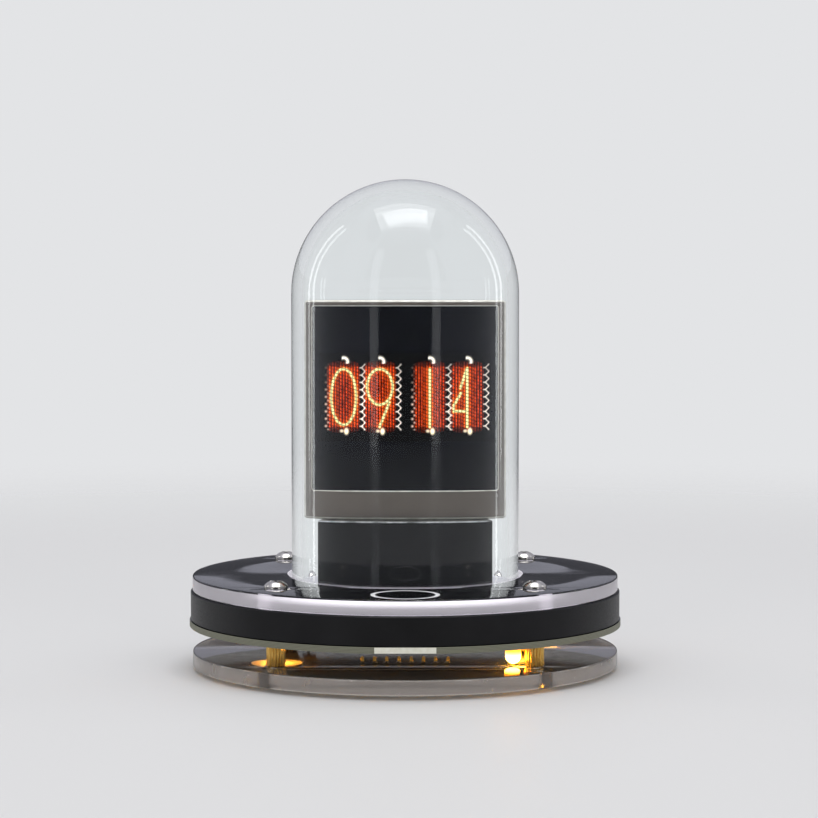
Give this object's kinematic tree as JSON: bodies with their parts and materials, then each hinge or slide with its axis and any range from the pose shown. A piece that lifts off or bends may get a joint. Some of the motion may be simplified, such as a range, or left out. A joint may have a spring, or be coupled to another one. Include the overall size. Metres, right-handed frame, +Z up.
{
  "type": "desk clock under a glass dome",
  "caption": "Small desk clock: a square colour display on a black stand shows glowing tube digits under a lift-off glass dome, on a round base of clear plates, spacers and a circuit board.",
  "frame": {"origin": "on the table, under the middle of the round base", "axes": "+Z up, the display faces -Y, +X to the viewer's right"},
  "size_m": [0.0694, 0.0692, 0.0785],
  "materials": {
    "clear_acrylic": "clear acrylic sheet with frosted laser-cut edges",
    "dome_glass": "clear polished glass",
    "black_housing": "satin black",
    "black_gloss": "glossy black",
    "board_laminate": "black solder mask on glass fibre with a pale cut edge",
    "spacer_brass": "knurled brass",
    "screw_steel": "bright nickel plate",
    "bezel_metal": "grey-brown coated sheet steel",
    "panel_glass_dark": "dark display glass",
    "backlight_white": "white light guide",
    "flex_amber": "amber film",
    "socket_cream": "moulded cream plastic",
    "foam_tape": "black foam",
    "digit_glow": "lit orange strokes",
    "lamp_amber": "lit amber lens",
    "spring_steel": "plated wire",
    "shell_steel": "tinned sheet",
    "pin_gilt": "gold flash",
    "chip_black": "moulded black plastic",
    "capacitor_tan": "ceramic and epoxy"
  },
  "bodies": {
    "base": {"foot_screws": "screw_steel", "base_plate": "clear_acrylic", "base_spacers": "spacer_brass", "main_board": "board_laminate", "base_housing": "black_housing", "top_plate": "clear_acrylic", "top_screws": "screw_steel", "display_stand": "black_gloss", "stand_screws": "screw_steel", "display_board": "board_laminate", "display_board_parts": "chip_black", "header_strip": "chip_black", "header_pins": "pin_gilt", "panel_bezel": "bezel_metal", "panel_glass": "panel_glass_dark", "panel_backlight": "backlight_white", "panel_flex": "flex_amber", "flex_socket": "socket_cream", "panel_tape": "foam_tape", "lit_digits": "digit_glow", "touch_spring": "spring_steel", "amber_lamps": "lamp_amber", "socket_shell": "shell_steel", "socket_tongue": "chip_black", "radio_module": "board_laminate", "radio_shield": "shell_steel", "regulator": "chip_black", "clock_chip": "chip_black", "clock_crystal": "shell_steel", "board_capacitors": "capacitor_tan", "board_resistors": "chip_black"},
    "dome": {"glass_dome": "dome_glass"}
  },
  "joints": [
    {"name": "dome_lift", "type": "slide", "parent": "base", "child": "dome", "axis": [0, 0, 1], "range_m": [0, 0.06]}
  ]
}
